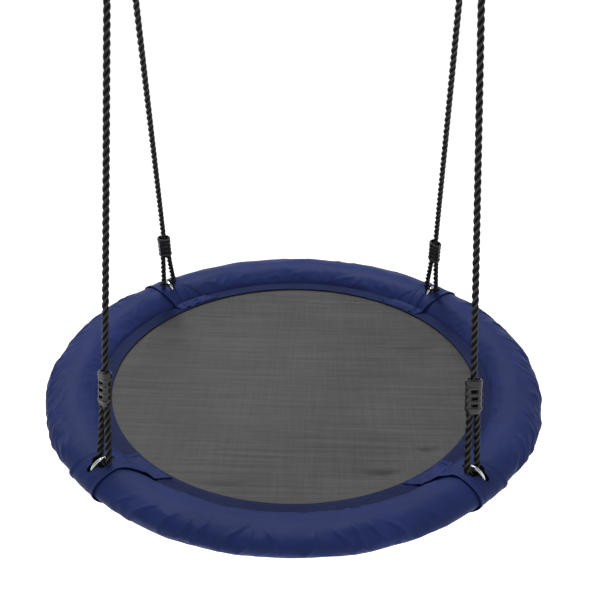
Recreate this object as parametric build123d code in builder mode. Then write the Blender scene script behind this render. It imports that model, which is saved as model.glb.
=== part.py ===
from build123d import *
from math import cos, pi, radians, sin, sqrt, tan
import os

# Saucer nest swing, in millimetres. +Z is up, +X is right, -Y is the front.
# The origin is midway between the centres of the two steel rings that the swing hangs from.

# ---- whole swing ----
SEAT_DIAMETER = 1016.0
SEAT_DROP = 950.0
HANG_SPACING = 556.0

# ---- hanging rings at the top ----
HANG_WIRE_D = 8.0
HANG_BORE_D = 50.0
HANG_RING_R = (HANG_BORE_D + HANG_WIRE_D) / 2
EYE_OFFSET = 8.5
AXIS_Z = -sqrt(HANG_RING_R**2 - EYE_OFFSET**2)
SEAT_Z = AXIS_Z - SEAT_DROP

# ---- seat frame ----
FRAME_R = 466.0
TUBE_D = 25.0
TUBE_WALL = 1.5
SPIGOT_GAP = 0.1
SPIGOT_ANGLE = 4.5
BUTT_ANGLE = 0.05
NECK_ANGLE = 0.5
JOINT_ANGLE = 6.0
BOLT_ANGLE = JOINT_ANGLE + 2.2
BOLT_D = 6.0
BOLT_HOLE_D = 6.4
HEAD_D = 11.0
HEAD_H = 3.5
NUT_AF = 10.0
NUT_H = 5.0
HEAD_ROUND = 1.2
BOLT_GAP = 0.1
BOLT_TAIL = 2.0

# ---- steel rings round the frame tube ----
RING_WIRE_D = 6.5
RING_BORE_D = 40.0
RING_R = (RING_BORE_D + RING_WIRE_D) / 2
RING_PLAY = 0.15

# ---- padding, cover and mat; heights are from the middle of the frame tube ----
CLOTH = 1.2
LAYER_GAP = 0.4
FOAM_HALF_WIDTH = 37.0
FOAM_HALF_HEIGHT = 20.5
FOAM_BORE_GAP = 0.3
FOAM_POCKET_D = 15.0
PAD_OUT = SEAT_DIAMETER / 2 - FRAME_R - LAYER_GAP - CLOTH
PAD_IN = 54.0
PAD_HALF_HEIGHT = 23.0
PAD_TIP_DROP = 14.0
PAD_POINTS = 16
HEM_R = 383.0
HEM_TOP = -12.6
HEM_THICK = 2.4
HEM_GAP = 0.3
MAT_R = 411.0
MAT_THICK = 1.2
MAT_GAP = 0.3
MAT_TOP = HEM_TOP - HEM_THICK - MAT_GAP
CORNER_GAP_ANGLE = 2.4
CUFF_HALF_ANGLE = 5.5
SLIT_LENGTH = 60.0
SLIT_WIDTH = 35.0
LIP_R = 386.0
LIP_LENGTH = FRAME_R - PAD_IN - LAYER_GAP - LIP_R
LIP_SLOT_LENGTH = LIP_LENGTH + 6.0
LIP_GAP = 0.3
LIP_SLOT_HEIGHT = HEM_THICK + MAT_GAP + MAT_THICK + 2 * LIP_GAP

# ---- ropes ----
ROPE_D = 12.0
LOOP_PLAY = 0.7
LOOP_R = RING_WIRE_D / 2 + ROPE_D / 2 + LOOP_PLAY
LOOP_BEND_R = LOOP_R - 0.1
EYE_PLAY = 1.4
EYE_R = HANG_WIRE_D / 2 + ROPE_D / 2 + EYE_PLAY
EYE_CORNER = 12.8
PAIR_HALF = 6.3
ADJUSTER_START = 98.0
TAIL_IN_ADJUSTER = 30.0
LEG_IN_ADJUSTER = 30.0
FERRULE_START = 36.0
FERRULE_LENGTH = 26.0
TAIL_IN_FERRULE = 22.0
ARC_SHARE = 0.45

# ---- rope adjusters ----
ADJUSTER_LENGTH = 62.0
ADJUSTER_WIDTH = 29.0
ADJUSTER_DEPTH = 17.0
COLLAR_GROWTH = 1.2
COLLAR_LENGTH = 5.0
CAVITY_WIDTH = 25.2
CAVITY_DEPTH = 12.6
CAVITY_LENGTH = 56.0
MOUTH_D = 15.0
WINDOW_WIDTH = 13.0
WINDOW_HEIGHT = 6.0
WINDOW_ROUND = 1.0
WINDOW_PITCH = 12.5
WINDOW_START = 13.0
WINDOW_COUNT = 3
SIDE_HOLE_WIDTH = 5.0
SIDE_HOLE_HEIGHT = 7.5

# ---- rope ferrules ----
FERRULE_WALL = 1.6

CORNERS = {"front_left": 225, "front_right": 315, "back_right": 45, "back_left": 135}
ADJUSTER_TURNS = {"front_left": 0, "front_right": -40, "back_right": 0, "back_left": -35}
SIDES = {"front": 270, "right": 0, "back": 90, "left": 180}
HANG_SIDES = {"left": -1, "right": 1}

os.makedirs("parts", exist_ok=True)
pieces = {}


def keep(name, part):
    """Label a finished piece and write it to its own file."""
    part.label = name
    pieces[name] = part
    export_step(part, f"parts/{name}.step")


def section_plane(azimuth):
    """Upright plane through the seat's axis: local x runs outwards, local y upwards."""
    outwards = (cos(radians(azimuth)), sin(radians(azimuth)), 0)
    tangent = (-sin(radians(azimuth)), cos(radians(azimuth)), 0)
    return Plane(origin=(0, 0, SEAT_Z), x_dir=outwards, z_dir=tuple(-c for c in tangent))


def pad_outline(outset):
    """Points of the pad's teardrop section, grown by outset from the panel's outer skin."""
    points = []
    for i in range(PAD_POINTS):
        angle = 2 * pi * i / PAD_POINTS
        width = PAD_OUT + outset if cos(angle) > 0 else PAD_IN + outset
        x = width * cos(angle)
        drop = PAD_TIP_DROP * (x / width) ** 2 if x < 0 else 0
        points.append((FRAME_R + x, (PAD_HALF_HEIGHT + outset) * sin(angle) - drop))
    return points


def corner_frame(azimuth, turn=0):
    """Directions, ring centre, ring top and rope eye of one corner; turn is the adjuster's, in degrees."""
    out = Vector(cos(radians(azimuth)), sin(radians(azimuth)), 0)
    tangent = Vector(-sin(radians(azimuth)), cos(radians(azimuth)), 0)
    tube = out * FRAME_R + Vector(0, 0, SEAT_Z)
    side = 1 if out.X > 0 else -1
    front = 1 if out.Y < 0 else -1
    eye = Vector(side * (HANG_SPACING / 2 + front * EYE_OFFSET), 0, AXIS_Z)
    pull = (eye - tube).normalized()
    up = (pull - tangent * pull.dot(tangent)).normalized()
    ring_centre = tube + up * ((RING_BORE_D - TUBE_D) / 2 - RING_PLAY)
    ring_top = ring_centre + up * RING_R
    along = (eye - ring_top).normalized()
    across = (tangent - along * tangent.dot(along)).normalized()
    turned = across.rotate(Axis((0, 0, 0), along.to_tuple()), turn)
    eye_side = Vector(1, 0, 0).cross(along).normalized()
    return {
        "tangent": tangent,
        "up": up,
        "centre": ring_centre,
        "top": ring_top,
        "eye": eye,
        "along": along,
        "across": across,
        "turned": turned,
        "eye_side": eye_side,
        "tube": tube,
    }


def rope_points(corner):
    """Route of one rope, from its tail in the adjuster to its tail in the ferrule."""
    low, high = corner["top"], corner["eye"]
    along, across, eye_side = corner["along"], corner["across"], corner["eye_side"]
    pair = corner["turned"] * PAIR_HALF
    start = ADJUSTER_START
    end = ADJUSTER_START + ADJUSTER_LENGTH
    return [
        low - pair + along * (start + TAIL_IN_ADJUSTER),
        low - pair + along * start,
        low - across * LOOP_R - along * LOOP_R,
        low + across * LOOP_R - along * LOOP_R,
        low + pair + along * start,
        low + pair + along * (start + LEG_IN_ADJUSTER),
        low + along * end,
        high + eye_side * PAIR_HALF - along * (FERRULE_START + FERRULE_LENGTH),
        high + eye_side * PAIR_HALF - along * FERRULE_START,
        high + eye_side * EYE_CORNER + along * EYE_R,
        high - eye_side * EYE_CORNER + along * EYE_R,
        high - eye_side * PAIR_HALF - along * FERRULE_START,
        high - eye_side * PAIR_HALF - along * (FERRULE_START + TAIL_IN_FERRULE),
    ]


def arc_radii(points, tight):
    """Radius of each corner of a route; tight maps a corner's index to the radius it goes round."""
    radii = []
    for i in range(1, len(points) - 1):
        before = points[i] - points[i - 1]
        after = points[i + 1] - points[i]
        half_turn = radians(before.get_angle(after)) / 2
        shorter = min(before.length, after.length)
        radii.append(tight.get(i, ARC_SHARE * shorter / tan(half_turn)))
    return radii


# ---- hanging rings: round steel rings, upright, with their bores facing front and back ----
for side, sign in HANG_SIDES.items():
    ring_plane = Plane(origin=(sign * HANG_SPACING / 2, 0, 0), z_dir=(0, 1, 0))
    with BuildPart() as hanging_ring:
        Torus(HANG_RING_R, HANG_WIRE_D / 2)
    keep(f"hanging_ring_{side}", ring_plane * hanging_ring.part)

# ---- frame: four quarter tubes, each with a swaged spigot that enters the next tube ----
for name, azimuth in SIDES.items():
    first = azimuth - 45 + JOINT_ANGLE
    last = azimuth + 45 + JOINT_ANGLE
    with BuildPart() as frame_tube:
        with BuildSketch(section_plane(first)):
            with Locations((FRAME_R, 0)):
                Circle(TUBE_D / 2)
                Circle(TUBE_D / 2 - TUBE_WALL, mode=Mode.SUBTRACT)
        revolve(axis=Axis.Z, revolution_arc=90 - BUTT_ANGLE)
        with BuildSketch(section_plane(last - NECK_ANGLE)):
            with Locations((FRAME_R, 0)):
                Circle(TUBE_D / 2)
                Circle(TUBE_D / 2 - 2 * TUBE_WALL - SPIGOT_GAP, mode=Mode.SUBTRACT)
        revolve(axis=Axis.Z, revolution_arc=NECK_ANGLE - BUTT_ANGLE)
        with BuildSketch(section_plane(last - NECK_ANGLE)):
            with Locations((FRAME_R, 0)):
                Circle(TUBE_D / 2 - TUBE_WALL - SPIGOT_GAP)
                Circle(TUBE_D / 2 - 2 * TUBE_WALL - SPIGOT_GAP, mode=Mode.SUBTRACT)
        revolve(axis=Axis.Z, revolution_arc=NECK_ANGLE + SPIGOT_ANGLE)
        for angle in (first + BOLT_ANGLE - JOINT_ANGLE, last + BOLT_ANGLE - JOINT_ANGLE):
            x, y = FRAME_R * cos(radians(angle)), FRAME_R * sin(radians(angle))
            with Locations((x, y, SEAT_Z)):
                Cylinder(BOLT_HOLE_D / 2, 2 * TUBE_D, mode=Mode.SUBTRACT)
    keep(f"frame_tube_{name}", frame_tube.part)

bolt_places = [
    (FRAME_R * cos(radians(a + BOLT_ANGLE)), FRAME_R * sin(radians(a + BOLT_ANGLE)))
    for a in CORNERS.values()
]

with BuildPart() as joint_bolts:
    shank = TUBE_D + 2 * BOLT_GAP + NUT_H + BOLT_TAIL
    with BuildSketch(Plane.XY.offset(SEAT_Z + TUBE_D / 2 + BOLT_GAP)):
        with Locations(*bolt_places):
            Circle(HEAD_D / 2)
    extrude(amount=HEAD_H)
    fillet(joint_bolts.edges().group_by(Axis.Z)[-1], HEAD_ROUND)
    with BuildSketch(Plane.XY.offset(SEAT_Z + TUBE_D / 2 + BOLT_GAP)):
        with Locations(*bolt_places):
            Circle(BOLT_D / 2)
    extrude(amount=-shank)
keep("joint_bolts", joint_bolts.part)

with BuildPart() as joint_nuts:
    with BuildSketch(Plane.XY.offset(SEAT_Z - TUBE_D / 2 - BOLT_GAP)):
        with Locations(*bolt_places):
            RegularPolygon(NUT_AF / 2, 6, major_radius=False)
            Circle(BOLT_D / 2 + BOLT_GAP, mode=Mode.SUBTRACT)
    extrude(amount=-NUT_H)
keep("joint_nuts", joint_nuts.part)

# ---- foam: oval sleeves on the tube, open round each corner's ring and each bolt ----
for name, azimuth in SIDES.items():
    first = azimuth - 45 + CORNER_GAP_ANGLE
    with BuildPart() as foam_sleeve:
        with BuildSketch(section_plane(first)):
            with Locations((FRAME_R, 0)):
                Ellipse(FOAM_HALF_WIDTH, FOAM_HALF_HEIGHT)
                Circle(TUBE_D / 2 + FOAM_BORE_GAP, mode=Mode.SUBTRACT)
        revolve(axis=Axis.Z, revolution_arc=90 - 2 * CORNER_GAP_ANGLE)
        with Locations(*[(x, y, SEAT_Z) for x, y in bolt_places]):
            Cylinder(FOAM_POCKET_D / 2, 2 * FOAM_HALF_WIDTH, mode=Mode.SUBTRACT)
    keep(f"foam_sleeve_{name}", foam_sleeve.part)

# ---- cover panels: hollow cloth sleeves round the foam ----
for name, azimuth in SIDES.items():
    first = azimuth - 45 + CORNER_GAP_ANGLE
    with BuildPart() as cover_panel:
        with BuildSketch(section_plane(first)):
            with BuildLine():
                Spline(*pad_outline(0), periodic=True)
            make_face()
            with BuildLine():
                Spline(*pad_outline(-CLOTH), periodic=True)
            make_face(mode=Mode.SUBTRACT)
        revolve(axis=Axis.Z, revolution_arc=90 - 2 * CORNER_GAP_ANGLE)
    keep(f"cover_panel_{name}", cover_panel.part)

# ---- hem band: a flat ring of doubled cloth that joins the mat to the panels' inner seams ----
with BuildPart() as hem_band:
    with BuildSketch(Plane.XY.offset(SEAT_Z + HEM_TOP)):
        Circle(FRAME_R - PAD_IN - HEM_GAP)
        Circle(HEM_R, mode=Mode.SUBTRACT)
    extrude(amount=-HEM_THICK)
keep("hem_band", hem_band.part)

# ---- corner cuffs: cloth wraps over the panels' ends, open at the hem, with a slit for the ring ----
for name, azimuth in CORNERS.items():
    with BuildPart() as corner_cuff:
        with BuildSketch(section_plane(azimuth - CUFF_HALF_ANGLE)):
            with BuildLine():
                Spline(*pad_outline(LAYER_GAP + CLOTH), periodic=True)
            make_face()
            with BuildLine():
                Spline(*pad_outline(LAYER_GAP), periodic=True)
            make_face(mode=Mode.SUBTRACT)
            with Locations((LIP_R, HEM_TOP + LIP_GAP + CLOTH)):
                Rectangle(LIP_LENGTH, CLOTH, align=(Align.MIN, Align.MAX))
            with Locations((LIP_R, MAT_TOP - MAT_THICK - LIP_GAP)):
                Rectangle(LIP_LENGTH, CLOTH, align=(Align.MIN, Align.MAX))
            with Locations((LIP_R, HEM_TOP + LIP_GAP)):
                Rectangle(
                    LIP_SLOT_LENGTH, LIP_SLOT_HEIGHT, align=(Align.MIN, Align.MAX), mode=Mode.SUBTRACT
                )
        revolve(axis=Axis.Z, revolution_arc=2 * CUFF_HALF_ANGLE)
        corner = corner_frame(azimuth)
        outwards = corner["tangent"].cross(Vector(0, 0, 1))
        slit_plane = Plane(origin=corner["tube"], x_dir=outwards, z_dir=(0, 0, 1))
        with BuildSketch(slit_plane):
            SlotOverall(SLIT_LENGTH, SLIT_WIDTH)
        extrude(amount=2 * PAD_HALF_HEIGHT, mode=Mode.SUBTRACT)
    keep(f"corner_cuff_{name}", corner_cuff.part)

# ---- mat: one round sheet of woven mesh, sewn under the hem band ----
with BuildPart() as mesh_mat:
    with BuildSketch(Plane.XY.offset(SEAT_Z + MAT_TOP)):
        Circle(MAT_R)
    extrude(amount=-MAT_THICK)
keep("mesh_mat", mesh_mat.part)

# ---- each corner: steel ring round the tube, rope, adjuster and ferrule ----
for name, azimuth in CORNERS.items():
    corner = corner_frame(azimuth, ADJUSTER_TURNS[name])
    ring_plane = Plane(origin=corner["centre"], x_dir=corner["up"], z_dir=corner["tangent"])
    with BuildPart() as frame_ring:
        Torus(RING_R, RING_WIRE_D / 2)
    keep(f"frame_ring_{name}", ring_plane * frame_ring.part)

    adjuster_plane = Plane(
        origin=corner["top"] + corner["along"] * ADJUSTER_START,
        x_dir=corner["turned"],
        z_dir=corner["along"],
    )
    with BuildPart() as rope_adjuster:
        with BuildSketch(adjuster_plane):
            SlotOverall(ADJUSTER_WIDTH, ADJUSTER_DEPTH)
        extrude(amount=ADJUSTER_LENGTH)
        for height in (0, ADJUSTER_LENGTH - COLLAR_LENGTH):
            with BuildSketch(adjuster_plane.offset(height)):
                SlotOverall(ADJUSTER_WIDTH + 2 * COLLAR_GROWTH, ADJUSTER_DEPTH + 2 * COLLAR_GROWTH)
            extrude(amount=COLLAR_LENGTH)
        with BuildSketch(adjuster_plane):
            SlotOverall(CAVITY_WIDTH, CAVITY_DEPTH)
        extrude(amount=CAVITY_LENGTH, mode=Mode.SUBTRACT)
        with BuildSketch(adjuster_plane):
            Circle(MOUTH_D / 2)
        extrude(amount=ADJUSTER_LENGTH, mode=Mode.SUBTRACT)
        base, wide, deep = adjuster_plane.origin, adjuster_plane.x_dir, adjuster_plane.y_dir
        face_plane = Plane(origin=base, x_dir=wide, z_dir=-deep)
        side_plane = Plane(origin=base, x_dir=deep, z_dir=wide)
        heights = [WINDOW_START + WINDOW_PITCH * i + WINDOW_HEIGHT / 2 for i in range(WINDOW_COUNT)]
        with BuildSketch(face_plane):
            with Locations(*[(0, h) for h in heights]):
                RectangleRounded(WINDOW_WIDTH, WINDOW_HEIGHT, WINDOW_ROUND)
        extrude(amount=ADJUSTER_DEPTH, both=True, mode=Mode.SUBTRACT)
        with BuildSketch(side_plane):
            with Locations(*[(0, h) for h in heights]):
                Ellipse(SIDE_HOLE_WIDTH / 2, SIDE_HOLE_HEIGHT / 2)
        extrude(amount=ADJUSTER_WIDTH, both=True, mode=Mode.SUBTRACT)
    keep(f"rope_adjuster_{name}", rope_adjuster.part)

    ferrule_plane = Plane(
        origin=corner["eye"] - corner["along"] * FERRULE_START,
        x_dir=corner["eye_side"],
        z_dir=-corner["along"],
    )
    with BuildPart() as rope_ferrule:
        with BuildSketch(ferrule_plane):
            SlotOverall(CAVITY_WIDTH + 2 * FERRULE_WALL, CAVITY_DEPTH + 2 * FERRULE_WALL)
            SlotOverall(CAVITY_WIDTH, CAVITY_DEPTH, mode=Mode.SUBTRACT)
        extrude(amount=FERRULE_LENGTH)
    keep(f"rope_ferrule_{name}", rope_ferrule.part)

    points = rope_points(corner)
    radii = arc_radii(points, {2: LOOP_BEND_R, 3: LOOP_BEND_R, 9: EYE_R, 10: EYE_R})
    with BuildPart() as rope:
        with BuildLine() as route:
            FilletPolyline(*points, radius=radii)
        path = route.wires()[0]
        with BuildSketch(Plane(origin=path @ 0, z_dir=path % 0)):
            Circle(ROPE_D / 2)
        sweep(path=path)
    length = path.length
    ideal = pi * ROPE_D**2 / 4 * length
    print(name, "rope length", round(length), "volume / ideal", round(rope.part.volume / ideal, 4))
    print("  radii", [round(r, 1) for r in radii])
    keep(f"rope_{name}", rope.part)

print(len(pieces), "pieces")
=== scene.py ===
from math import atan2, cos, degrees, exp, pi, radians, sin, sqrt

import bpy
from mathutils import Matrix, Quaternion, Vector, noise


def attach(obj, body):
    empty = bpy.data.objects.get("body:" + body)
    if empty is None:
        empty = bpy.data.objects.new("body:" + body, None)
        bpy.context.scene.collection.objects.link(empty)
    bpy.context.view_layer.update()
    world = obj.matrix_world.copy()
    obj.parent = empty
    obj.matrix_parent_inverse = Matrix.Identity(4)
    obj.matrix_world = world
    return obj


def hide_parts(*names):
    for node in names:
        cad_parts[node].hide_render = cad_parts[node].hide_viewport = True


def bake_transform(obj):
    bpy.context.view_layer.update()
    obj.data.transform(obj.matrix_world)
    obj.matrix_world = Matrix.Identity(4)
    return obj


# Saucer nest swing. Metres, +Z up, -Y is the front, origin midway between the hanging rings.
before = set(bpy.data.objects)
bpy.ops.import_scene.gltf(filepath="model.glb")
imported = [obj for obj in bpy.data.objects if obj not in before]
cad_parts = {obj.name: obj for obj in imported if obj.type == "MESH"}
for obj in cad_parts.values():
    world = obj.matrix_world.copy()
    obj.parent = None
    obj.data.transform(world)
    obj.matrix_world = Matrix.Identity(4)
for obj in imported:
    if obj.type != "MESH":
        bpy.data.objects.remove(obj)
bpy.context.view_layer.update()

# ---- sizes, most of them shared with the CAD model ----
SEAT_DIAMETER = 1.016
HANG_SPACING = 0.556
HANG_WIRE_D = 0.008
HANG_RING_R = 0.029
EYE_OFFSET = 0.0085
AXIS_Z = -sqrt(HANG_RING_R**2 - EYE_OFFSET**2)
SEAT_Z = AXIS_Z - 0.950
FRAME_R = 0.466
TUBE_D = 0.025
RING_WIRE_D = 0.0065
RING_BORE_D = 0.040
RING_R = (RING_BORE_D + RING_WIRE_D) / 2
RING_PLAY = 0.00015
CLOTH = 0.0012
LAYER_GAP = 0.0004
PAD_OUT = SEAT_DIAMETER / 2 - FRAME_R - LAYER_GAP - CLOTH
PAD_IN = 0.054
PAD_HALF_HEIGHT = 0.023
PAD_TIP_DROP = 0.014
PAD_MEAN_R = 0.036
HEM_R = 0.383
HEM_TOP = -0.0126
HEM_THICK = 0.0024
MAT_R = 0.411
MAT_THICK = 0.0012
MAT_GAP = 0.0003
MAT_TOP = HEM_TOP - HEM_THICK - MAT_GAP
ROPE_D = 0.012
LOOP_PLAY = 0.0007
LOOP_R = RING_WIRE_D / 2 + ROPE_D / 2 + LOOP_PLAY
LOOP_SPREAD = 0.0148
EYE_PLAY = 0.0014
EYE_R = HANG_WIRE_D / 2 + ROPE_D / 2 + EYE_PLAY
EYE_CORNER = 0.0128
PAIR_HALF = 0.0063
ADJUSTER_START = 0.098
ADJUSTER_LENGTH = 0.062
TAIL_IN_ADJUSTER = 0.030
LEG_IN_ADJUSTER = 0.030
FERRULE_START = 0.036
FERRULE_LENGTH = 0.026
TAIL_IN_FERRULE = 0.022
CORNER_GAP_ANGLE = 2.4

CORNERS = {"front_left": 225, "front_right": 315, "back_right": 45, "back_left": 135}
ADJUSTER_TURNS = {"front_left": 0, "front_right": -40, "back_right": 0, "back_left": -35}
SIDES = {"front": 270, "right": 0, "back": 90, "left": 180}


# ---- node helpers ----
def new_material(name):
    """A material whose surface is one Principled shader; returns it with its tree and shader."""
    material = bpy.data.materials.new(name)
    material.use_nodes = True
    tree = material.node_tree
    return material, tree, tree.nodes["Principled BSDF"]


def set_inputs(node, values):
    """Sets values on a node's own sockets."""
    for key, value in values.items():
        node.inputs[key].default_value = value


def add(tree, kind, values=(), **settings):
    """A node of that kind with its settings and its sockets' values."""
    node = tree.nodes.new(kind)
    for key, value in settings.items():
        setattr(node, key, value)
    set_inputs(node, dict(values))
    return node


def link(tree, *pairs):
    """Joins each pair of an output socket and an input socket."""
    for start, end in pairs:
        tree.links.new(start, end)


def ramp(tree, source, stops):
    """A colour ramp over that output, with (place, grey or colour) stops."""
    node = add(tree, "ShaderNodeValToRGB")
    for i, (place, colour) in enumerate(stops):
        if i > 1:
            node.color_ramp.elements.new(place)
        element = node.color_ramp.elements[i]
        element.position = place
        element.color = (colour,) * 3 + (1,) if isinstance(colour, float) else (*colour, 1)
    link(tree, (source, node.inputs["Fac"]))
    return node.outputs["Color"]


def texture_space(tree, source, scale=(1, 1, 1)):
    """Texture coordinates of that kind, scaled along each axis if asked."""
    coordinates = add(tree, "ShaderNodeTexCoord")
    mapping = add(tree, "ShaderNodeMapping", {"Scale": scale})
    link(tree, (coordinates.outputs[source], mapping.inputs["Vector"]))
    return mapping.outputs["Vector"]


def noise_field(tree, vector, scale, detail=4.0, roughness=0.6, distortion=0.0):
    """Noise from 0 to 1 over that vector."""
    node = add(tree, "ShaderNodeTexNoise", {
        "Scale": scale, "Detail": detail, "Roughness": roughness, "Distortion": distortion,
    })
    link(tree, (vector, node.inputs["Vector"]))
    return node.outputs["Fac"]


def math_node(tree, operation, first, second):
    """One arithmetic step between outputs or numbers."""
    node = add(tree, "ShaderNodeMath", operation=operation)
    for socket, value in zip(node.inputs, (first, second)):
        if isinstance(value, float):
            socket.default_value = value
        else:
            link(tree, (value, socket))
    return node.outputs["Value"]


def bump(tree, shader, height, distance, strength=1.0, under=None):
    """Bump from a height field, on top of another bump if given."""
    node = add(tree, "ShaderNodeBump", {"Strength": strength, "Distance": distance})
    link(tree, (height, node.inputs["Height"]), (node.outputs["Normal"], shader.inputs["Normal"]))
    if under is not None:
        link(tree, (under, node.inputs["Normal"]))
    return node.outputs["Normal"]


# ---- materials: noise scales are per metre, bump distances in metres ----
# Threads a metre.
CLOTH_THREADS = 1100.0
MESH_THREADS = 620.0


def weave_height(tree, vector, threads):
    """Plain weave from 0 to 1: warp and weft waves that pass over each other."""
    split = add(tree, "ShaderNodeSeparateXYZ")
    link(tree, (vector, split.inputs["Vector"]))
    u = math_node(tree, "MULTIPLY", split.outputs["X"], pi * threads)
    v = math_node(tree, "MULTIPLY", split.outputs["Y"], pi * threads)
    warp = math_node(tree, "SINE", u, 0.0)
    weft = math_node(tree, "SINE", v, 0.0)
    product = math_node(tree, "MULTIPLY", warp, weft)
    half_up = math_node(tree, "MULTIPLY_ADD", product, 0.5)
    half_up.node.inputs[2].default_value = 0.5
    return half_up


def blend_fields(tree, first, first_share, second, second_share):
    """Two fields added in those shares."""
    first_part = math_node(tree, "MULTIPLY", first, first_share)
    second_part = math_node(tree, "MULTIPLY", second, second_share)
    return math_node(tree, "ADD", first_part, second_part)


def navy_cloth(name, tones):
    """Coated polyester oxford: deep navy, fine weave, soft sheen on the folds."""
    material, tree, shader = new_material(name)
    surface = texture_space(tree, "UV")
    body = texture_space(tree, "Object")
    weave = weave_height(tree, surface, CLOTH_THREADS)
    cloudy = noise_field(tree, body, scale=9.0, detail=3.0)
    thread = noise_field(tree, surface, scale=420.0, detail=2.0)
    tone = blend_fields(tree, cloudy, 0.7, thread, 0.3)
    colour = ramp(tree, tone, [(0.3, tones[0]), (0.7, tones[1])])
    rough = ramp(tree, thread, [(0.3, 0.44), (0.7, 0.56)])
    link(tree, (colour, shader.inputs["Base Color"]), (rough, shader.inputs["Roughness"]))
    set_inputs(shader, {
        "Sheen Weight": 0.03, "Sheen Roughness": 0.45, "Sheen Tint": (0.45, 0.55, 1.0, 1),
        "Specular IOR Level": 0.10,
    })
    crease = noise_field(tree, body, scale=55.0, detail=3.0, roughness=0.55)
    under = bump(tree, shader, crease, distance=0.0012, strength=0.35)
    bump(tree, shader, weave, distance=0.0002, strength=0.6, under=under)
    return material


def mat_mesh():
    """Woven vinyl-coated mesh: dark grey threads, fine grid, uneven yarns both ways."""
    material, tree, shader = new_material("grey_woven_mesh")
    flat = texture_space(tree, "Object")
    weave = weave_height(tree, flat, MESH_THREADS)
    weft = texture_space(tree, "Object", (4, 150, 1))
    across = noise_field(tree, weft, scale=1.0, detail=3.0, roughness=0.7, distortion=0.5)
    warp = texture_space(tree, "Object", (190, 6, 1))
    along = noise_field(tree, warp, scale=1.0, detail=3.0, roughness=0.7, distortion=0.3)
    clouds = noise_field(tree, flat, scale=3.2, detail=2.0)
    yarns = blend_fields(tree, across, 0.60, along, 0.25)
    tone = blend_fields(tree, yarns, 0.75, clouds, 0.25)
    colour = ramp(tree, tone, [(0.34, (0.034, 0.035, 0.035)), (0.56, (0.074, 0.074, 0.072))])
    link(tree, (colour, shader.inputs["Base Color"]))
    set_inputs(shader, {"Roughness": 0.62, "Specular IOR Level": 0.3})
    under = bump(tree, shader, yarns, distance=0.0010, strength=0.25)
    bump(tree, shader, weave, distance=0.0004, strength=0.8, under=under)
    return material


def rope_fibre():
    """Black twisted polyethylene: fine yarns, waxy strand crests and dull valleys, with shade painted dark
    into the valleys between strands.
    """
    material, tree, shader = new_material("black_rope_fibre")
    yarn = noise_field(tree, texture_space(tree, "UV", (60, 16, 1)), scale=1.0, detail=3.0)
    split = add(tree, "ShaderNodeSeparateXYZ")
    link(tree, (texture_space(tree, "UV"), split.inputs["Vector"]))
    crest_shine_and_valley_shade = split.outputs["Y"]
    # Painted shade: the colour darkens from each strand's crest into the valley between strands, mixed
    # with the yarns' own tone.
    tone = blend_fields(tree, yarn, 0.5, crest_shine_and_valley_shade, 0.5)
    colour = ramp(tree, tone, [(0.25, 0.0008), (0.55, 0.0065), (0.82, 0.040)])
    rough = ramp(tree, crest_shine_and_valley_shade, [(0.2, 0.85), (0.8, 0.33)])
    link(tree, (colour, shader.inputs["Base Color"]), (rough, shader.inputs["Roughness"]))
    set_inputs(shader, {"Specular IOR Level": 0.3})
    bump(tree, shader, yarn, distance=0.0005, strength=0.7)
    return material


def moulded_plastic():
    """Black moulded nylon: fine spark texture, a little wear."""
    material, tree, shader = new_material("black_moulded_plastic")
    space = texture_space(tree, "Object")
    grain = noise_field(tree, space, scale=1400.0, detail=2.0)
    smear = noise_field(tree, space, scale=90.0, detail=4.0)
    colour = ramp(tree, smear, [(0.35, (0.009, 0.009, 0.0092)), (0.7, (0.022, 0.022, 0.0222))])
    rough = ramp(tree, smear, [(0.3, 0.15), (0.7, 0.28)])
    link(tree, (colour, shader.inputs["Base Color"]), (rough, shader.inputs["Roughness"]))
    bump(tree, shader, grain, distance=0.0001, strength=0.4)
    return material


def zinc_steel():
    """Bright zinc-plated wire: pale, faint spangle and drawing lines."""
    material, tree, shader = new_material("zinc_plated_steel")
    space = texture_space(tree, "Object")
    spangle = noise_field(tree, space, scale=260.0, detail=3.0)
    colour = ramp(tree, spangle, [(0.3, (0.60, 0.61, 0.62)), (0.7, (0.80, 0.81, 0.82))])
    rough = ramp(tree, spangle, [(0.3, 0.16), (0.7, 0.30)])
    link(tree, (colour, shader.inputs["Base Color"]), (rough, shader.inputs["Roughness"]))
    set_inputs(shader, {"Metallic": 1.0})
    bump(tree, shader, spangle, distance=0.0002, strength=0.15)
    return material


def fine_grained(name, scale, dark, pale):
    """A satin surface with a fine even grain: powder coat on steel, or sewing thread."""
    material, tree, shader = new_material(name)
    grain = noise_field(tree, texture_space(tree, "Object"), scale=scale, detail=2.0)
    colour = ramp(tree, grain, [(0.3, dark), (0.7, pale)])
    link(tree, (colour, shader.inputs["Base Color"]))
    set_inputs(shader, {"Roughness": 0.45})
    bump(tree, shader, grain, distance=0.0002, strength=0.4)
    return material


def foam_rubber():
    """Black closed-cell foam: matt, small open pores on its cut faces, with their shade painted darker
    into the colour.
    """
    material, tree, shader = new_material("black_foam")
    cells = add(tree, "ShaderNodeTexVoronoi", {"Scale": 900.0})
    link(tree, (texture_space(tree, "Object"), cells.inputs["Vector"]))
    depth = cells.outputs["Distance"]
    # Painted shade: the colour is darkest in the middle of each pore, where the bump sinks.
    colour = ramp(tree, depth, [(0.1, (0.006, 0.006, 0.006)), (0.6, (0.020, 0.020, 0.021))])
    link(tree, (colour, shader.inputs["Base Color"]))
    set_inputs(shader, {"Roughness": 0.9})
    bump(tree, shader, depth, distance=0.0005, strength=0.6)
    return material


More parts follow.
